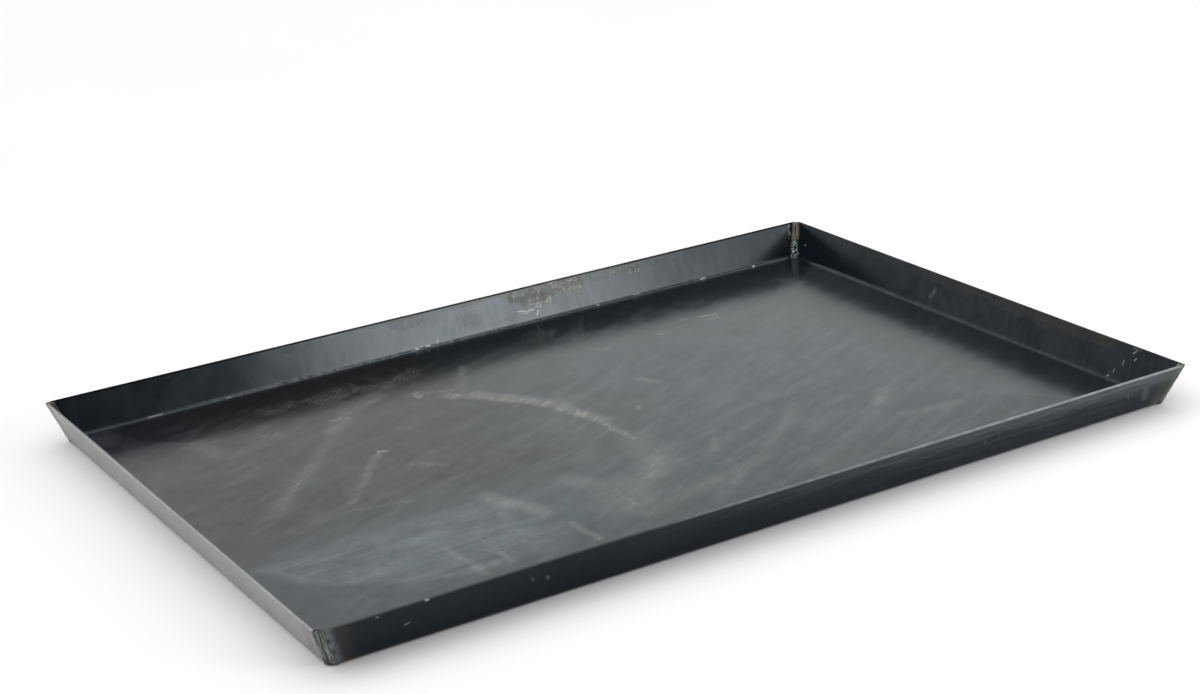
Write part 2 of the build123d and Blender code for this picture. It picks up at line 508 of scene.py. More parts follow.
class SteelShader(Shader):
    """A shader that knows where it is on the tray and carries the noises all its layers share."""

    def __init__(self, name):
        super().__init__(name)
        self.here = self.place()
        self.x, self.y, _ = self.parts(self.here)
        self.outside = self.attribute("outside")
        self.inside = self.invert(self.outside)
        self.climb = self.times(self.attribute("climb"), 1000.0)
        self.rim = self.attribute("rim")
        # Beyond a fold line is a wall. It is the one further out across the tray than along it.
        self.out_x = self.add(self.math("ABSOLUTE", self.x), -FLAT_X / MM)
        self.out_y = self.add(self.math("ABSOLUTE", self.y), -FLAT_Y / MM)
        faces_y = self.math("GREATER_THAN", self.out_y, self.out_x)
        raised = self.math("GREATER_THAN", self.most(self.out_x, self.out_y), 0.0)
        long_wall = self.times(raised, faces_y)
        short_wall = self.times(raised, self.invert(faces_y))
        self.at_back = self.times(long_wall, self.math("GREATER_THAN", self.y, 0.0))
        self.at_front = self.times(long_wall, self.math("LESS_THAN", self.y, 0.0))
        self.at_left = self.times(short_wall, self.math("LESS_THAN", self.x, 0.0))
        self.at_right = self.times(short_wall, self.math("GREATER_THAN", self.x, 0.0))
        self.along = self.mix(faces_y, self.y, self.x)
        self.cloud = self.noise(self.here, 85.0, 3.0, 0.55, 0.5)
        self.patch = self.noise(self.here, 24.0, 5.0, 0.62, 0.7)
        self.grain = self.noise(self.here, 5.0, 5.0, 0.68, 0.5)
        self.fine = self.noise(self.here, 1.1, 3.0, 0.6)
        self.wander = self.noise(self.scaled(self.here, (1.0, 1.0, 1.0), 33.0), 24.0, 2.0)
        self.ruffle = self.noise(self.here, 8.0, 1.5, 0.5)
        self.strokes = self.drawn_out(self.here, 46.0, 9.0, -24.0, 5.0, 0.62, 0.4)
        # From a wall's end, at the sharp outside corner it would have run to.
        self.to_end = self.math(
            "SUBTRACT",
            self.add(self.mix(faces_y, FOOT_Y / MM, FOOT_X / MM), self.times(self.climb, math.cos(FOLD))),
            self.math("ABSOLUTE", self.along),
        )

    def frayed(self, across, up, reach):
        """A canvas for marks, pushed about so that none of them is straight."""
        return self.joined(self.strayed(across, self.wander, reach), self.strayed(up, self.ruffle, reach))

    def patchy(self, mask, texture, low, high):
        """A mark worn through in places: whole where it is strong, in scraps where it is weak."""
        return self.fade(self.strayed(mask, texture, 1.3), low, high)

    def from_fold(self):
        """How far inside the nearest fold line a place on the floor is, in millimetres."""
        return self.times(self.most(self.out_x, self.out_y), -1.0)


def floor_marks(s):
    """Dry smears and a ring on the tray's floor: warm residue, cold residue, bare steel and stain."""
    canvas = s.frayed(s.x, s.y, 8.0)
    smears = streaks(s, canvas, FLOOR_SMEARS)
    ring = streaks(s, canvas, FLOOR_RING)
    wipes = streaks(s, canvas, FLOOR_WIPES)
    specks = streaks(s, canvas, FLOOR_SPECKS)
    marks = s.most(s.times(smears, 0.72), ring, s.times(wipes, 0.85), specks)
    torn = s.drawn_out(s.here, 14.0, 4.0, -38.0, 3.0, 0.55)
    worn = s.times(s.fade(torn, 0.3, 0.7, 0.55, 0.95), s.fade(s.ruffle, 0.3, 0.7, 0.6, 1.1))
    warm = s.most(s.times(s.patchy(marks, torn, 0.15, 1.4), worn), s.times(marks, 0.4))

    # Droplets have dried on the dark strip beneath the back wall and at its edge.
    spattered = streaks(s, canvas, FLOOR_SPATTER)
    droplets = s.fade(s.spots(s.frayed(s.x, s.y, 3.0), 2.6), 0.25, 0.5, 0.32, 0.12)
    warm = s.most(warm, s.times(spattered, s.fade(s.patch, 0.42, 0.6), droplets))

    # Ripples where one drop landed in a thin film.
    ripple_place = streak(s, canvas, (-184, 112), (-181, 128), 2.0, 9.0, 0.5)
    ripple_wave = s.math("SINE", s.times(s.vector("DISTANCE", canvas, (-170, 140, 0), output="Value"), 2.1))
    warm = s.most(warm, s.times(ripple_place, s.fade(ripple_wave, 0.0, 1.0), s.fade(torn, 0.35, 0.6)))

    # Residue dried in a shallow pool, with a curved shore towards the front left corner.
    round_pool = streak(s, canvas, (-160, -20), (-160, -20), 121.0, 11.0, 1.0)
    bands = s.drawn_out(s.here, 60.0, 12.0, 0.0, 2.0, 0.5, 0.8)
    pool = s.times(
        round_pool,
        s.fade(s.strayed(s.y, s.patch, 50.0), -82.0, -44.0, 1.0, 0.0),
        s.fade(s.x, -118.0, -98.0, 1.0, 0.35),
        s.fade(s.x, -100.0, -50.0, 1.0, 0.0),
        s.fade(bands, 0.3, 0.7, 0.4, 1.0),
        s.fade(s.patch, 0.3, 0.68, 0.4, 1.15),
    )
    left_edge = s.times(
        s.fade(s.x, -284.0, -245.0, 1.0, 0.0), s.fade(s.y, -50.0, 30.0), s.fade(s.patch, 0.42, 0.6, 0.1, 1.0)
    )
    # Wiping has left it cloudy all over but by the folds, in faint strokes.
    from_fold = s.from_fold()
    cloudy = s.times(
        s.fade(s.strokes, 0.38, 0.68),
        s.fade(s.patch, 0.35, 0.65, 0.35, 1.0),
        s.fade(from_fold, 12.0, 55.0, 0.02, 0.26),
    )
    cold = s.most(s.times(pool, 0.85), s.times(left_edge, 0.3), cloudy)
    cold = s.times(cold, s.fade(s.grain, 0.3, 0.7, 0.75, 1.0))
    return warm, cold, 0.0, 0.0


def back_wall_marks(s, canvas, ragged, drips, brushed):
    """Inside the back wall: warm residue, the crack along the fold with a painted highlight, bare scratches
    and brown stain.
    """
    in_back = s.times(s.at_back, s.inside)
    scraped = streaks(s, ragged, BACK_SCRAPES)
    under_rim = streaks(s, canvas, BACK_UNDER_RIM)
    scratches = streaks(s, canvas, BACK_SCRATCHES)
    stained = streaks(s, ragged, BACK_STAINS)
    # The scale has cracked along the fold. Its line is painted light, partly as the cracked scale and partly
    # as a painted highlight, strongest left of the middle.
    off_fold = s.math("ABSOLUTE", s.add(s.climb, -FOLD_CRACK_CLIMB))
    fold_line = s.times(s.fade(off_fold, 0.6, 1.6, 1.0, 0.0), s.fade(s.grain, 0.3, 0.7))
    lit_run = s.times(s.fade(s.along, -250.0, -120.0), s.fade(s.along, -60.0, 130.0, 1.2, 0.3))
    scoured = s.add(s.times(drips, 0.5), s.times(brushed, 0.5))
    warm = s.most(
        s.times(s.patchy(scraped, drips, 0.4, 0.95), s.fade(scoured, 0.42, 0.58, 0.1, 1.0), 2.6),
        s.times(s.patchy(under_rim, brushed, 0.4, 1.1), 1.2),
        s.times(
            s.band(s.climb, 25.4, 25.8, 0.8),
            s.band(s.along, -70.0, 120.0, 60.0),
            s.fade(brushed, 0.3, 0.6, 0.1, 0.9),
        ),
    )
    return (
        s.times(warm, in_back),
        s.times(fold_line, lit_run, in_back),
        s.times(scratches, in_back, s.fade(s.fine, 0.3, 0.6, 0.5, 1.0)),
        s.times(s.patchy(stained, s.grain, 0.1, 1.2), in_back, 1.1),
    )


def right_wall_marks(s, canvas, ragged, brushed):
    """Inside the right wall: bright chips and brown stain."""
    in_right = s.times(s.at_right, s.inside)
    chips = streaks(s, canvas, RIGHT_CHIPS)
    stained = streaks(s, ragged, RIGHT_STAINS)
    return s.times(chips, in_right, 2.5), s.times(s.patchy(stained, brushed, 0.2, 1.3), in_right, 0.9)


def front_wall_marks(s, canvas, drips, brushed):
    """Outside the front wall: warm speckles by the right corner, cold haze with a painted reflection, knocks,
    and brown tint.
    """
    on_front = s.times(s.at_front, s.outside)
    knocks = streaks(s, canvas, FRONT_KNOCKS)
    # The haze is partly a residue film and partly a painted reflection of the floor: lighter towards the
    # right and towards the top.
    haze_and_reflection = s.times(
        s.fade(s.x, -160.0, 290.0, 0.02, 0.8),
        s.fade(s.climb, 15.0, 25.0, 0.22, 1.0),
        s.fade(brushed, 0.3, 0.65, 0.35, 1.2),
    )
    # The grinding disc has run out over the wall's ends, most of all at the left.
    ground = s.times(
        s.fade(s.x, 0.0, 100.0, 1.0, 0.3),
        s.outside,
        s.fade(s.strayed(s.to_end, drips, 8.0), 6.5, 11.5, 1.3, 0.0),
    )
    ground = s.times(ground, s.fade(drips, 0.35, 0.6, 0.2, 1.0))
    high = s.fade(s.climb, 8.0, 14.0)
    brown = s.times(on_front, s.fade(s.x, 20.0, 120.0), s.fade(brushed, 0.5, 0.62), high)
    speckled = s.times(s.at_front, s.outside, s.fade(s.x, 274.0, 281.0), s.fade(s.climb, 3.0, 10.0, 1.0, 0.0))
    speckled = s.times(speckled, s.fade(s.fine, 0.5, 0.6, 0.1, 0.9))
    return speckled, s.times(s.most(haze_and_reflection, knocks, ground), on_front), brown


def wall_marks(s):
    """Marks on the walls: warm and cold residue with painted highlight and reflection, bare steel and stain.
    """
    canvas = s.frayed(s.along, s.climb, 2.5)
    ragged = s.frayed(s.along, s.climb, 11.0)
    drips = s.drawn_out(canvas, 2.6, 7.0, 0.0, 5.0, 0.7)
    brushed = s.drawn_out(canvas, 34.0, 2.6, 0.0, 5.0, 0.65)
    back_warm, fold_crack_and_highlight, bare, back_stain = back_wall_marks(s, canvas, ragged, drips, brushed)
    chips, right_stain = right_wall_marks(s, canvas, ragged, brushed)
    speckled, front_cold, front_brown = front_wall_marks(s, canvas, drips, brushed)
    far_outside = s.times(s.most(s.at_right, s.at_back), s.outside, s.fade(s.patch, 0.3, 0.7, 0.02, 0.16))
    # The welding has browned every wall outside, a little way in from its ends.
    heated = s.times(s.outside, s.band(s.strayed(s.to_end, s.patch, 24.0), 11.0, 13.0, 9.0))
    # The cold marks take in the painted highlight along the back fold and the painted reflection on the front
    # wall.
    cold = s.most(front_cold, chips, fold_crack_and_highlight, far_outside)
    stain = s.most(back_stain, right_stain, s.times(heated, 0.5), s.times(front_brown, 0.5))
    return s.most(back_warm, speckled), cold, bare, stain


def blackened_steel(name, marks):
    """Black heat scale, oiled by use, rubbed along its edges and smeared with dry residue, with painted light
    too: highlights along the front rim and the back fold, a reflection on the front wall and sheen on the
    left wall.
    """
    s = SteelShader(name)
    warm, cold, bare, stain = marks(s)
    on_wall = s.math("GREATER_THAN", s.most(s.out_x, s.out_y), 0.0)
    on_floor = s.invert(on_wall)

    # The left part of the floor is browner and duller than the rest, which has a cold cast.
    east = s.strayed(s.x, s.cloud, 160.0)
    north = s.strayed(s.y, s.patch, 60.0)
    browned = s.times(on_floor, s.fade(east, -90.0, 50.0, 1.0, 0.0), s.fade(north, -75.0, -20.0))
    black = s.colour(s.fade(s.cloud, 0.35, 0.65), SCALE_BLACK, SCALE_BLUE)
    from_fold = s.from_fold()
    black = s.colour(s.fade(from_fold, 15.0, 80.0), black, SCALE_OPEN)
    rusty = s.fade(s.strayed(s.x, s.patch, 50.0), -265.0, -170.0)
    black = s.colour(s.times(browned, 0.8), black, s.colour(rusty, SCALE_VIOLET, SCALE_BROWN))

    # The rims are painted as a thin grey line of rubbed steel. It is strongest along the right half of the
    # front, where it is also a painted highlight.
    front_rub_and_highlight = s.times(s.at_front, s.fade(s.x, -120.0, -40.0), s.fade(s.x, -60.0, 260.0, 0.5, 1.0))
    rim_out = RIM_X - FLAT_X
    outer_half = s.fade(s.out_x, (rim_out - 0.8 * SHEET) / MM, (rim_out - 0.5 * SHEET) / MM)
    left_line = s.times(s.at_left, outer_half, 0.75)
    rubbed_and_highlight = s.times(s.rim, s.most(front_rub_and_highlight, left_line, 0.06), s.fade(s.grain, 0.3, 0.7, 0.5, 1.0))
    nicks = s.times(s.rim, s.fade(s.noise(s.here, 5.5, 3.0, 0.7), 0.70, 0.74))
    # The outside of the left wall is painted pale grey, partly as dust and partly as painted sheen, but for
    # the part that was ground at its front end.
    dust_and_sheen = s.times(s.at_left, s.outside, s.fade(s.climb, 0.5, 3.0), s.fade(s.patch, 0.3, 0.7, 0.86, 1.0))
    past_ground = s.fade(s.strayed(s.to_end, s.grain, 5.0), 5.0, 8.0)
    dust_and_sheen = s.times(
        dust_and_sheen,
        s.most(past_ground, s.fade(s.y, -60.0, 60.0, 1.0, 0.0)),
        s.fade(s.grain, 0.3, 0.7, 0.92, 1.0),
    )

    # Handling has left a dark, greasy lip along the top of the far walls.
    lip = s.times(s.most(s.at_back, s.at_right), s.most(s.rim, s.fade(s.climb, 26.3, 26.9)))
    clean = s.mix(lip, 1.0, 0.12)
    warm = s.times(warm, clean)
    cold = s.times(cold, clean)
    # Cold residue; on the walls this colour also carries a painted highlight along the back fold and a
    # painted reflection on the front.
    base = s.colour(s.times(cold, 0.26), black, COLD_RESIDUE_AND_PAINTED_LIGHT)
    base = s.colour(s.times(warm, 0.32), base, WARM_RESIDUE)
    # Pale grey on the left wall's outside: dust with painted sheen.
    base = s.colour(s.times(dust_and_sheen, 0.85), base, DUST_AND_SHEEN)
    base = s.colour(s.times(stain, 0.6), base, STAIN)
    # Grey rim line: rubbed steel, with a painted highlight along the right half of the front.
    base = s.colour(s.times(rubbed_and_highlight, 0.6), base, RUBBED_STEEL_AND_HIGHLIGHT)
    base = s.colour(s.most(bare, nicks), base, BARE_STEEL)

    film = s.math("MINIMUM", s.most(warm, cold), 1.0)
    rough = s.add(s.fade(s.patch, 0.3, 0.7, 0.17, 0.20), s.times(film, 0.2))
    rough = s.mix(s.outside, rough, 0.42)
    wear = s.most(bare, nicks, rubbed_and_highlight)
    rough = s.mix(wear, rough, 0.4)
    streaky = s.noise(s.joined(s.times(s.along, 1 / 4.0), s.times(s.climb, 1 / 26.0)), 1.0, 4.0, 0.6)
    wiped = s.add(s.times(s.strokes, 0.6), s.times(s.patch, 0.4))
    hung = s.add(s.times(streaky, 0.4), s.times(s.patch, 0.6))
    shine = s.fade(s.mix(on_wall, wiped, hung), 0.33, 0.67, 0.42, 0.58)
    oily_back = s.times(s.fade(s.y, 100.0, 142.0), s.fade(s.x, -90.0, 20.0, 1.7, 0.2))
    oily = s.most(s.fade(s.x, 165.0, 275.0), oily_back)
    shine = s.mix(browned, shine, s.fade(wiped, 0.3, 0.7, 0.27, 0.38))
    shine = s.times(shine, s.mix(s.times(on_floor, oily), 1.0, 0.66))
    shine = s.times(shine, s.mix(lip, 1.0, 0.08))
    shine = s.mix(s.times(s.at_right, s.inside), shine, s.fade(hung, 0.35, 0.65, 0.17, 0.31))
    shine = s.mix(s.times(s.outside, s.invert(s.at_left)), shine, 0.16)
    shine = s.mix(s.times(stain, 0.8), shine, 0.25)

    # The floor is bowed a little by the welding: it falls away towards the folds.
    normal = s.bump(s.times(s.fade(from_fold, 0.0, 110.0), 1.4), 0.001)
    normal = s.bump(s.grain, 0.00002, 0.35, normal)
    normal = s.bump(s.patch, 0.0001, 0.08, normal)
    return s.finish(
        Base_Color=base,
        Roughness=rough,
        Metallic=s.times(s.most(bare, nicks), 0.35),
        IOR=STEEL_IOR,
        Specular_IOR_Level=shine,
        Specular_Tint=COLD_GLINT,
        Normal=normal,
    )


def ground_weld():
    """Weld metal and wall edges under one facet, left by a coarse disc and darkened since."""
    s = Shader("ground_weld")
    here = s.place()
    x, y, height = s.parts(here)
    across = s.math("SUBTRACT", s.math("ABSOLUTE", x), s.math("ABSOLUTE", y))
    grooves = s.noise(s.joined(s.times(across, 1 / 1.3), s.times(height, 1 / 15.0)), 1.0, 3.0, 0.6)
    lumps = s.noise(here, 3.2, 3.0, 0.55)
    colour = s.colour(s.fade(grooves, 0.34, 0.62), GROOVE_DARK, GROOVE_LIGHT)
    # A dark seam wanders down the facet where the disc has not reached the bottom of the joint.
    across = s.add(across, (FOOT_Y - FOOT_X) / MM)
    off_seam = s.math("ABSOLUTE", s.add(across, s.fade(s.noise(here, 11.0, 3.0), 0.3, 0.7, -1.4, 0.8)))
    colour = s.colour(s.fade(off_seam, 0.2, 0.9, 0.85, 0.0), colour, SEAM)
    low = s.fade(s.strayed(height, lumps, 6.0), 2.0, 8.0, 1.0, 0.0)
    colour = s.colour(s.times(low, s.fade(lumps, 0.45, 0.6)), colour, FOOT_OLIVE)
    colour = s.colour(s.times(low, s.fade(lumps, 0.5, 0.38, 0.0, 0.8)), colour, FOOT_BLACK)
    normal = s.bump(grooves, 0.0003, 0.5)
    normal = s.bump(lumps, 0.0004, 0.2, normal)
    return s.finish(
        Base_Color=colour,
        Roughness=s.fade(lumps, 0.3, 0.7, 0.38, 0.55),
        Metallic=0.25,
        IOR=STEEL_IOR,
        Specular_IOR_Level=0.3,
        Normal=normal,
    )


def weld_bead():
    """A bead: bright lumps low in the corner with small painted highlights, brown and washed out towards the
    rim.
    """
    s = Shader("weld_bead")
    here = s.place()
    x, y, height = s.parts(here)
    lumps = s.noise(here, 1.9, 4.0, 0.6)
    across = s.math("SUBTRACT", s.math("ABSOLUTE", x), s.math("ABSOLUTE", y))
    runs = s.noise(s.joined(s.times(across, 1 / 1.1), s.times(height, 1 / 8.0)), 1.0, 3.0, 0.6)
    upper = s.fade(s.strayed(height, lumps, 5.0), 13.0, 17.0)
    dull = s.colour(s.fade(runs, 0.38, 0.66), BEAD_TAN_DARK, BEAD_TAN_LIGHT)
    bright = s.colour(s.fade(lumps, 0.40, 0.62), BEAD_DARK, BEAD_LIGHT)
    # Small near-white spots on the lower lumps are painted highlights.
    bright = s.colour(s.fade(s.noise(here, 1.2, 2.0), 0.60, 0.66), bright, BEAD_PAINTED_GLINT)
    # The two beads on the left are painted darker, as painted shade.
    colour = s.colour(s.fade(x, -50.0, 50.0, 0.75, 0.0), s.colour(upper, bright, dull), LEFT_BEAD_SHADE)
    normal = s.bump(lumps, 0.0006, s.fade(upper, 0.0, 1.0, 0.8, 0.2))
    return s.finish(
        Base_Color=colour,
        Roughness=s.fade(upper, 0.0, 1.0, 0.24, 0.5),
        Metallic=s.fade(upper, 0.0, 1.0, 0.6, 0.1),
        IOR=STEEL_IOR,
        Specular_IOR_Level=0.35,
        Normal=normal,
    )


def studio_floor():
    s = Shader("studio_floor")
    place = s.place()
    tone = s.noise(place, 300.0, 2.0)
    return s.finish(Base_Color=s.colour(tone, PAPER_LOW, PAPER_HIGH), Roughness=0.9, IOR=1.3)


# ---------------------------------------------------------------- mesh building


def new_piece(name, mesh, material, body="root"):
    """A smooth-shaded object in the scene. It rides on that body, unless body is None."""
    piece = bpy.data.objects.new(name, mesh)
    bpy.context.scene.collection.objects.link(piece)
    mesh.materials.append(material)
    for polygon in mesh.polygons:
        polygon.use_smooth = True
    if body:
        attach(piece, body)
    return piece


def turn_faces_out(mesh):
    shaped = bmesh.new()
    shaped.from_mesh(mesh)
    bmesh.ops.recalc_face_normals(shaped, faces=shaped.faces)
    shaped.to_mesh(mesh)
    shaped.free()


def wavy(x, y, seed, size):
    """Smooth noise from -1 to 1 over the plan, with lumps about size across."""
    return noise.noise(Vector((x / size, y / size, seed)))


class SheetSkin:
    """The folded sheet's skin: a floor, four folds and walls, a sheared rim and open corner notches."""

    ALONG_X, ALONG_Y = 150, 104
    BEND_STEPS = 8
    WALL_STOPS = (0.12, 0.28, 0.45, 0.62, 0.78, 0.88, 0.94, 0.97)

    def __init__(self):
        self.found = {}
        self.points = []
        self.facts = []          # (outside, climb, rim) for each point
        self.faces = []

    def point(self, x, y, z, facts):
        """The number of the point at that place, made if it is new."""
        key = (round(x, 7), round(y, 7), round(z, 7))
        if key not in self.found:
            self.found[key] = len(self.points)
            self.points.append((x, y, z))
            self.facts.append(facts)
        return self.found[key]

    def stations(self):
        """Pairs of section points, outer and inner, from the floor to the rim: (out, up, climb, rim)."""
        apex_outer = BEND_SETBACK - END_GAP
        apex_inner = apex_outer + LEAN * SHEET
        pairs = [((apex_outer, 0.0, 0.0, 0.0), (apex_inner, SHEET, 0.0, 0.0))]
        for step in range(self.BEND_STEPS + 1):
            turn = FOLD * step / self.BEND_STEPS
            climb = INNER_BEND * turn
            pairs.append(
                tuple(
                    (radius * math.sin(turn), OUTER_BEND - radius * math.cos(turn), climb, 0.0)
                    for radius in (OUTER_BEND, INNER_BEND)
                )
            )
        low = [Vector(side[:2]) for side in pairs[-1]]
        low_climb = INNER_BEND * FOLD
        rim_outer = Vector((BEND_SETBACK + OUTER_RIM_Z * LEAN, OUTER_RIM_Z))
        high = [rim_outer - EDGE_ROUND * UP_WALL, rim_outer - EDGE_ROUND * UP_WALL + SHEET * INTO_TRAY]
        wall = (high[1] - low[1]).length
        for stop in (*self.WALL_STOPS, 1.0):
            pairs.append(
                tuple((*low[i].lerp(high[i], stop), low_climb + stop * wall, 0.0) for i in (0, 1))
            )
        centres = [high[0] + EDGE_ROUND * INTO_TRAY, high[1] - EDGE_ROUND * INTO_TRAY]
        for degrees in (30, 60, 90):
            turn = math.radians(degrees)
            lift = EDGE_ROUND * math.sin(turn) * UP_WALL
            side = EDGE_ROUND * math.cos(turn) * INTO_TRAY
            pairs.append(
                tuple(
                    (*(centre + lift + way * side), low_climb + wall, 1.0)
                    for centre, way in zip(centres, (-1, 1))
                )
            )
        return pairs

    def floor(self, half_x, half_y, height, outside):
        """One face of the flat floor, upper or lower."""
        rows = []
        for j in range(self.ALONG_Y + 1):
            y = half_y * (2 * j / self.ALONG_Y - 1)
            rows.append(
                [
                    self.point(half_x * (2 * i / self.ALONG_X - 1), y, height, (outside, 0.0, 0.0))
                    for i in range(self.ALONG_X + 1)
                ]
            )
        for near, far in zip(rows, rows[1:]):
            for a, b, c, d in zip(near, near[1:], far[1:], far):
                self.faces.append((a, b, c, d))

    def wall(self, along_is_x, side):
        """One wall with its fold. side is -1 or 1, on the axis that the wall faces."""
        flat_along, flat_across = (FLAT_X, FLAT_Y) if along_is_x else (FLAT_Y, FLAT_X)
        foot_along = flat_along + BEND_SETBACK
        steps = self.ALONG_X if along_is_x else self.ALONG_Y
        pairs = self.stations()
        chain = [(station, 1.0) for station, _ in pairs]
        chain += [(station, 0.0) for _, station in reversed(pairs)]
        rows = []
        for (out, up, climb, rim), outside in chain:
            end = min(flat_along + out, foot_along + LEAN * up - END_GAP)
            row = []
            for i in range(steps + 1):
                along = end * (2 * i / steps - 1)
                across = side * (flat_across + out)
                plan = (along, across) if along_is_x else (across, along)
                row.append(self.point(*plan, up, (outside, climb, rim)))
            rows.append(row)
        for low, high in zip(rows, rows[1:]):
            for a, b, c, d in zip(low, low[1:], high[1:], high):
                self.faces.append((a, b, c, d))
        # The wall's two cut ends, from its outer face across to its inner face.
        for end in (0, -1):
            column = [row[end] for row in rows]
            for k in range(len(pairs) - 1):
                self.faces.append((column[k], column[k + 1], column[-2 - k], column[-1 - k]))

    def mesh(self):
        """The whole skin, with the facts that the shaders read."""
        apex = BEND_SETBACK - END_GAP
        self.floor(FLAT_X + apex, FLAT_Y + apex, 0.0, 1.0)
        inner_apex = apex + LEAN * SHEET
        self.floor(FLAT_X + inner_apex, FLAT_Y + inner_apex, SHEET, 0.0)
        for along_is_x in (True, False):
            for side in (-1, 1):
                self.wall(along_is_x, side)
        mesh = bpy.data.meshes.new("folded_sheet_skin")
        mesh.from_pydata([settled(*p) for p in self.points], [], self.faces)
        for index, name in enumerate(("outside", "climb", "rim")):
            layer = mesh.attributes.new(name, "FLOAT", "POINT")
            layer.data.foreach_set("value", [facts[index] for facts in self.facts])
        turn_faces_out(mesh)
        return mesh


def settled(x, y, z):
    """A point of the ideal tray, moved as welding and use have warped the real one."""
    in_floor = smooth_step(min(FLAT_X - abs(x), FLAT_Y - abs(y)), 0.0, FLOOR_BOW_REACH)
    lift = FLOOR_BOW * in_floor * (0.5 + 0.5 * wavy(x, y, 3.1, 140 * MM))
    height = smooth_step(z, SHEET, HEIGHT)
    to_corner = max(FOOT_X - abs(x), FOOT_Y - abs(y))
    free = height * smooth_step(to_corner, *CORNER_HOLD)
    sway = WALL_SWAY * free * (0.5 + 0.5 * wavy(x, y, 8.7, 110 * MM))
    if abs(y) / FOOT_Y > abs(x) / FOOT_X and abs(y) > FLAT_Y:
        y -= math.copysign(sway, y)
    elif abs(x) > FLAT_X:
        x -= math.copysign(sway, x)
    dip = RIM_DIP * free * (0.5 + 0.5 * wavy(x, y, 5.2, 45 * MM))
    return x, y, z + lift - dip


def lofted(name, rings, material):
    """A closed mesh through rings of equally many points, capped at both ends."""
    mesh = bpy.data.meshes.new(name)
    count = len(rings[0])
    points = [p for ring in rings for p in ring]
    faces = []
    for k in range(len(rings) - 1):
        for i in range(count):
            j = (i + 1) % count
            faces.append((k * count + i, k * count + j, (k + 1) * count + j, (k + 1) * count + i))
    faces.append(tuple(range(count)))
    faces.append(tuple((len(rings) - 1) * count + i for i in range(count)))
    mesh.from_pydata(points, [], faces)
    turn_faces_out(mesh)
    return new_piece(name, mesh, material)


def corner_point(signs, inward_x, inward_y, z):
    """A point given by its distances inwards from the leaning, sharp outer corner at that height."""
    return (
        signs[0] * (FOOT_X + LEAN * z - inward_x),
        signs[1] * (FOOT_Y + LEAN * z - inward_y),
        z,
    )


def outer_retreat(z):
    """How far the fold's outer surface lies inside the outer wall plane at that height."""
    if z >= OUTER_BEND * (1 - math.cos(FOLD)):
        return 0.0
    out = math.sqrt(max(OUTER_BEND**2 - (OUTER_BEND - z) ** 2, 0.0))
    return BEND_SETBACK + LEAN * z - out


def outside_weld(corner, material):
    """Weld metal between two wall ends, ground off by hand with a disc."""
    signs = CORNERS[corner]
    seed = 10.0 + 3.7 * list(CORNERS).index(corner)
    levels = 40
    across = 14
    ridge_height, ridge_place, ridge_width = 0.25 * MM, -0.15, 0.12
    lump_height, lump_size = 0.22 * MM, 6.0 * MM
    rings = []
    for level in range(levels + 1):
        z = OUTER_RIM_Z * level / levels
        retreat = max(outer_retreat(z), 0.0)
        ring = []
        for i in range(across + 1):
            q = 2 * i / across - 1
            arch = 1 - q * q
            side_x = END_GAP * (1 - q) / 2
            side_y = END_GAP * (1 + q) / 2
            # At the foot the weld follows the two folds round and under.
            sink = max(retreat - END_GAP / 2 * 0.55, 0.0) * (1.0 - 0.35 * arch)
            ridge = ridge_height * math.exp(-(((q - ridge_place) / ridge_width) ** 2))
            lumps = lump_height * noise.noise(Vector((q * 2.0, z / lump_size, seed)))
            proud = arch * FULLNESS[corner] - ridge + lumps * arch
            ring.append(corner_point(signs, side_x + sink - proud, side_y + sink - proud, z))
        root = retreat * 0.5
        ring.append(corner_point(signs, SHEET_ACROSS + root, END_GAP + root, z))
        ring.append(corner_point(signs, END_GAP + root, SHEET_ACROSS + root, z))
        rings.append(ring)
    piece = lofted(f"outside_weld_{corner}_ground", rings, material)
    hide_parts(f"outside_weld_{corner}")


def inside_weld(corner, material):
    """Fillet bead up an inner corner: lumpy with ripples below, washed out smooth towards the rim."""
    signs = CORNERS[corner]
    seed = 30.0 + 5.3 * list(CORNERS).index(corner)
    levels = 90
    across = 12
    low = SHEET * 0.6
    high = HEIGHT - 0.5 * MM
    root = SHEET_ACROSS - 0.2 * MM
    ripple_height, ripple_length, ripple_bow = 0.16 * MM, 1.7 * MM, 1.0 * MM
    lump_height, lump_size = 0.35 * MM, 2.6 * MM
    smooth_crown, rough_crown = 0.35 * MM, 0.45 * MM
    each_side = 0.707        # of a step towards the tray's middle, the share along each wall's normal
    rings = []
    for level in range(levels + 1):
        share = level / levels
        z = low + (high - low) * share
        rough = 1 - smooth_step(share, 0.5, 0.75)
        uneven = 0.12 * noise.noise(Vector((z / (3 * MM), seed, 0.0))) * (0.4 + rough)
        width = BEAD_LEG * (1 + uneven)
        ring = []
        for i in range(across + 1):
            q = 2 * i / across - 1
            arch = 1 - q * q
            phase = (z - ripple_bow * arch) / ripple_length
            ripple = ripple_height * rough * math.sin(2 * math.pi * phase) * arch
            lumps = lump_height * rough * arch * noise.noise(Vector((q, z / lump_size, seed + 9)))
            crown = (smooth_crown + rough_crown * rough) * arch + ripple + lumps
            leg_x = SHEET_ACROSS + width * (1 - q) / 2 + crown * each_side
            leg_y = SHEET_ACROSS + width * (1 + q) / 2 + crown * each_side
            ring.append(corner_point(signs, leg_x, leg_y, z))
        ring.append(corner_point(signs, root, END_GAP, z))
        ring.append(corner_point(signs, END_GAP, root, z))
        rings.append(ring)
    piece = lofted(f"inside_weld_{corner}_bead", rings, material)
    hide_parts(f"inside_weld_{corner}")


# ---------------------------------------------------------------- studio


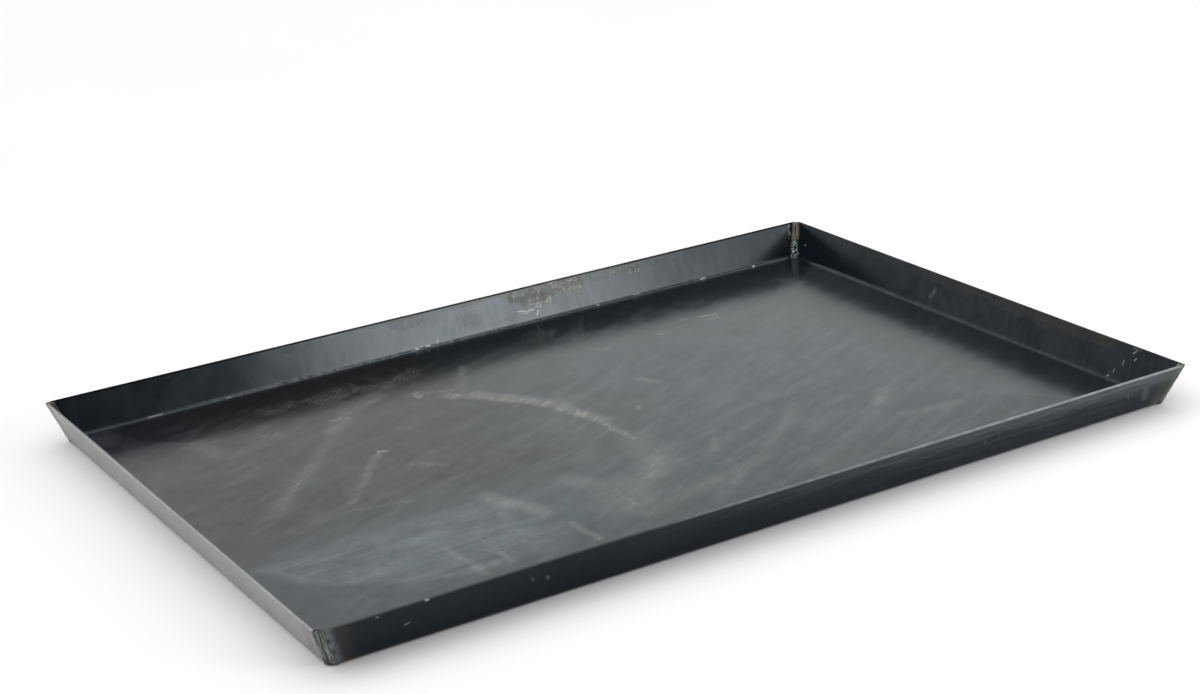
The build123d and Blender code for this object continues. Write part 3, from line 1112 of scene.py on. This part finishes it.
def studio():
    """A white floor without end, and a pale room round it that the steel mirrors."""
    mesh = bpy.data.meshes.new("studio_floor")
    reach = 12.0
    outline = [(reach * sign_x, reach * sign_y, 0) for sign_x, sign_y in ((-1, -1), (1, -1), (1, 1), (-1, 1))]
    mesh.from_pydata(outline, [], [(0, 1, 2, 3)])
    floor = new_piece("studio_floor", mesh, studio_floor(), body=None)

    world = bpy.data.worlds.new("studio")
    bpy.context.scene.world = world
    world.use_nodes = True
    sky = Tree(world.node_tree)
    towards = sky.nodes.new("ShaderNodeTexCoord").outputs["Generated"]
    x, y, z = sky.parts(towards)
    # Brightest above and behind the tray, darker low down, and dark on the photographer's side.
    high_behind = sky.times(sky.fade(y, -0.3, 0.5), sky.fade(z, 0.42, 0.8), 0.5)
    high_left = sky.times(sky.fade(x, -0.1, -0.7), sky.fade(z, 0.1, 0.4), 0.45)
    level = sky.add(sky.add(high_behind, high_left), 1.02)
    level = sky.times(level, sky.fade(y, -0.6, -0.05, 0.8, 1.0))
    level = sky.times(level, sky.mix(sky.fade(z, 0.3, 0.7), sky.fade(y, -0.75, -0.2, 0.08, 1.0), 1.0))
    level = sky.times(level, sky.fade(z, 0.0, 0.16, 0.45, 1.0))
    seen = sky.nodes.new("ShaderNodeLightPath").outputs["Is Camera Ray"]
    background = sky.nodes.new("ShaderNodeBackground")
    background.inputs["Color"].default_value = (1.0, 1.0, 1.0, 1.0)
    sky.feed(background.inputs["Strength"], sky.mix(seen, level, 1.0))
    output = sky.nodes.new("ShaderNodeOutputWorld")
    sky.links.new(background.outputs[0], output.inputs["Surface"])


def softbox(name, place, aim, width, height, power):
    """A rectangular lamp at that place, turned towards aim, that the camera doesn't see."""
    light = bpy.data.lights.new(name, "AREA")
    light.shape = "RECTANGLE"
    light.size = width
    light.size_y = height
    light.energy = power
    lamp = bpy.data.objects.new(name, light)
    bpy.context.scene.collection.objects.link(lamp)
    lamp.location = place
    lamp.rotation_euler = (Vector(aim) - Vector(place)).to_track_quat("-Z", "Y").to_euler()
    lamp.visible_camera = False


def camera():
    """A camera that looks down on the tray past its front left corner."""
    data = bpy.data.cameras.new("camera")
    data.lens = LENS
    data.sensor_width = SENSOR_WIDTH
    data.clip_start = 0.01
    data.clip_end = 100.0
    eye = bpy.data.objects.new("camera", data)
    bpy.context.scene.collection.objects.link(eye)
    ahead = Vector((math.cos(YAW) * math.cos(PITCH), math.sin(YAW) * math.cos(PITCH), -math.sin(PITCH)))
    level = Vector((math.sin(YAW), -math.cos(YAW), 0.0))
    above = level.cross(ahead)
    right = math.cos(ROLL) * level + math.sin(ROLL) * above
    up = -math.sin(ROLL) * level + math.cos(ROLL) * above
    turn = Matrix((right, up, -ahead)).transposed()
    eye.matrix_world = Matrix.Translation(EYE) @ turn.to_4x4()
    bpy.context.scene.camera = eye


# ---------------------------------------------------------------- the scene

skin = new_piece("folded_sheet_skin", SheetSkin().mesh(), blackened_steel("blackened_walls", wall_marks))
skin.data.materials.append(blackened_steel("blackened_floor", floor_marks))
for polygon in skin.data.polygons:
    past_fold = max(abs(polygon.center.x) - FLAT_X, abs(polygon.center.y) - FLAT_Y)
    if past_fold < 0 and polygon.center.z > SHEET / 2:
        polygon.material_index = 1
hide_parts("folded_sheet")
even_normals = skin.modifiers.new("even_normals", "WEIGHTED_NORMAL")
even_normals.keep_sharp = True

ground_metal = ground_weld()
bead_metal = weld_bead()
for corner_name in CORNERS:
    outside_weld(corner_name, ground_metal)
    inside_weld(corner_name, bead_metal)

studio()
softbox("front_softbox", (0.88, -1.50, 0.62), (0.0, 0.1, 0.0), 0.48, 0.7, 7.4)
softbox("side_softbox", (1.29, -1.36, 0.62), (0.2, 0.1, 0.0), 0.42, 0.7, 1.7)
camera()

scene = bpy.context.scene
scene.view_settings.view_transform = "Standard"
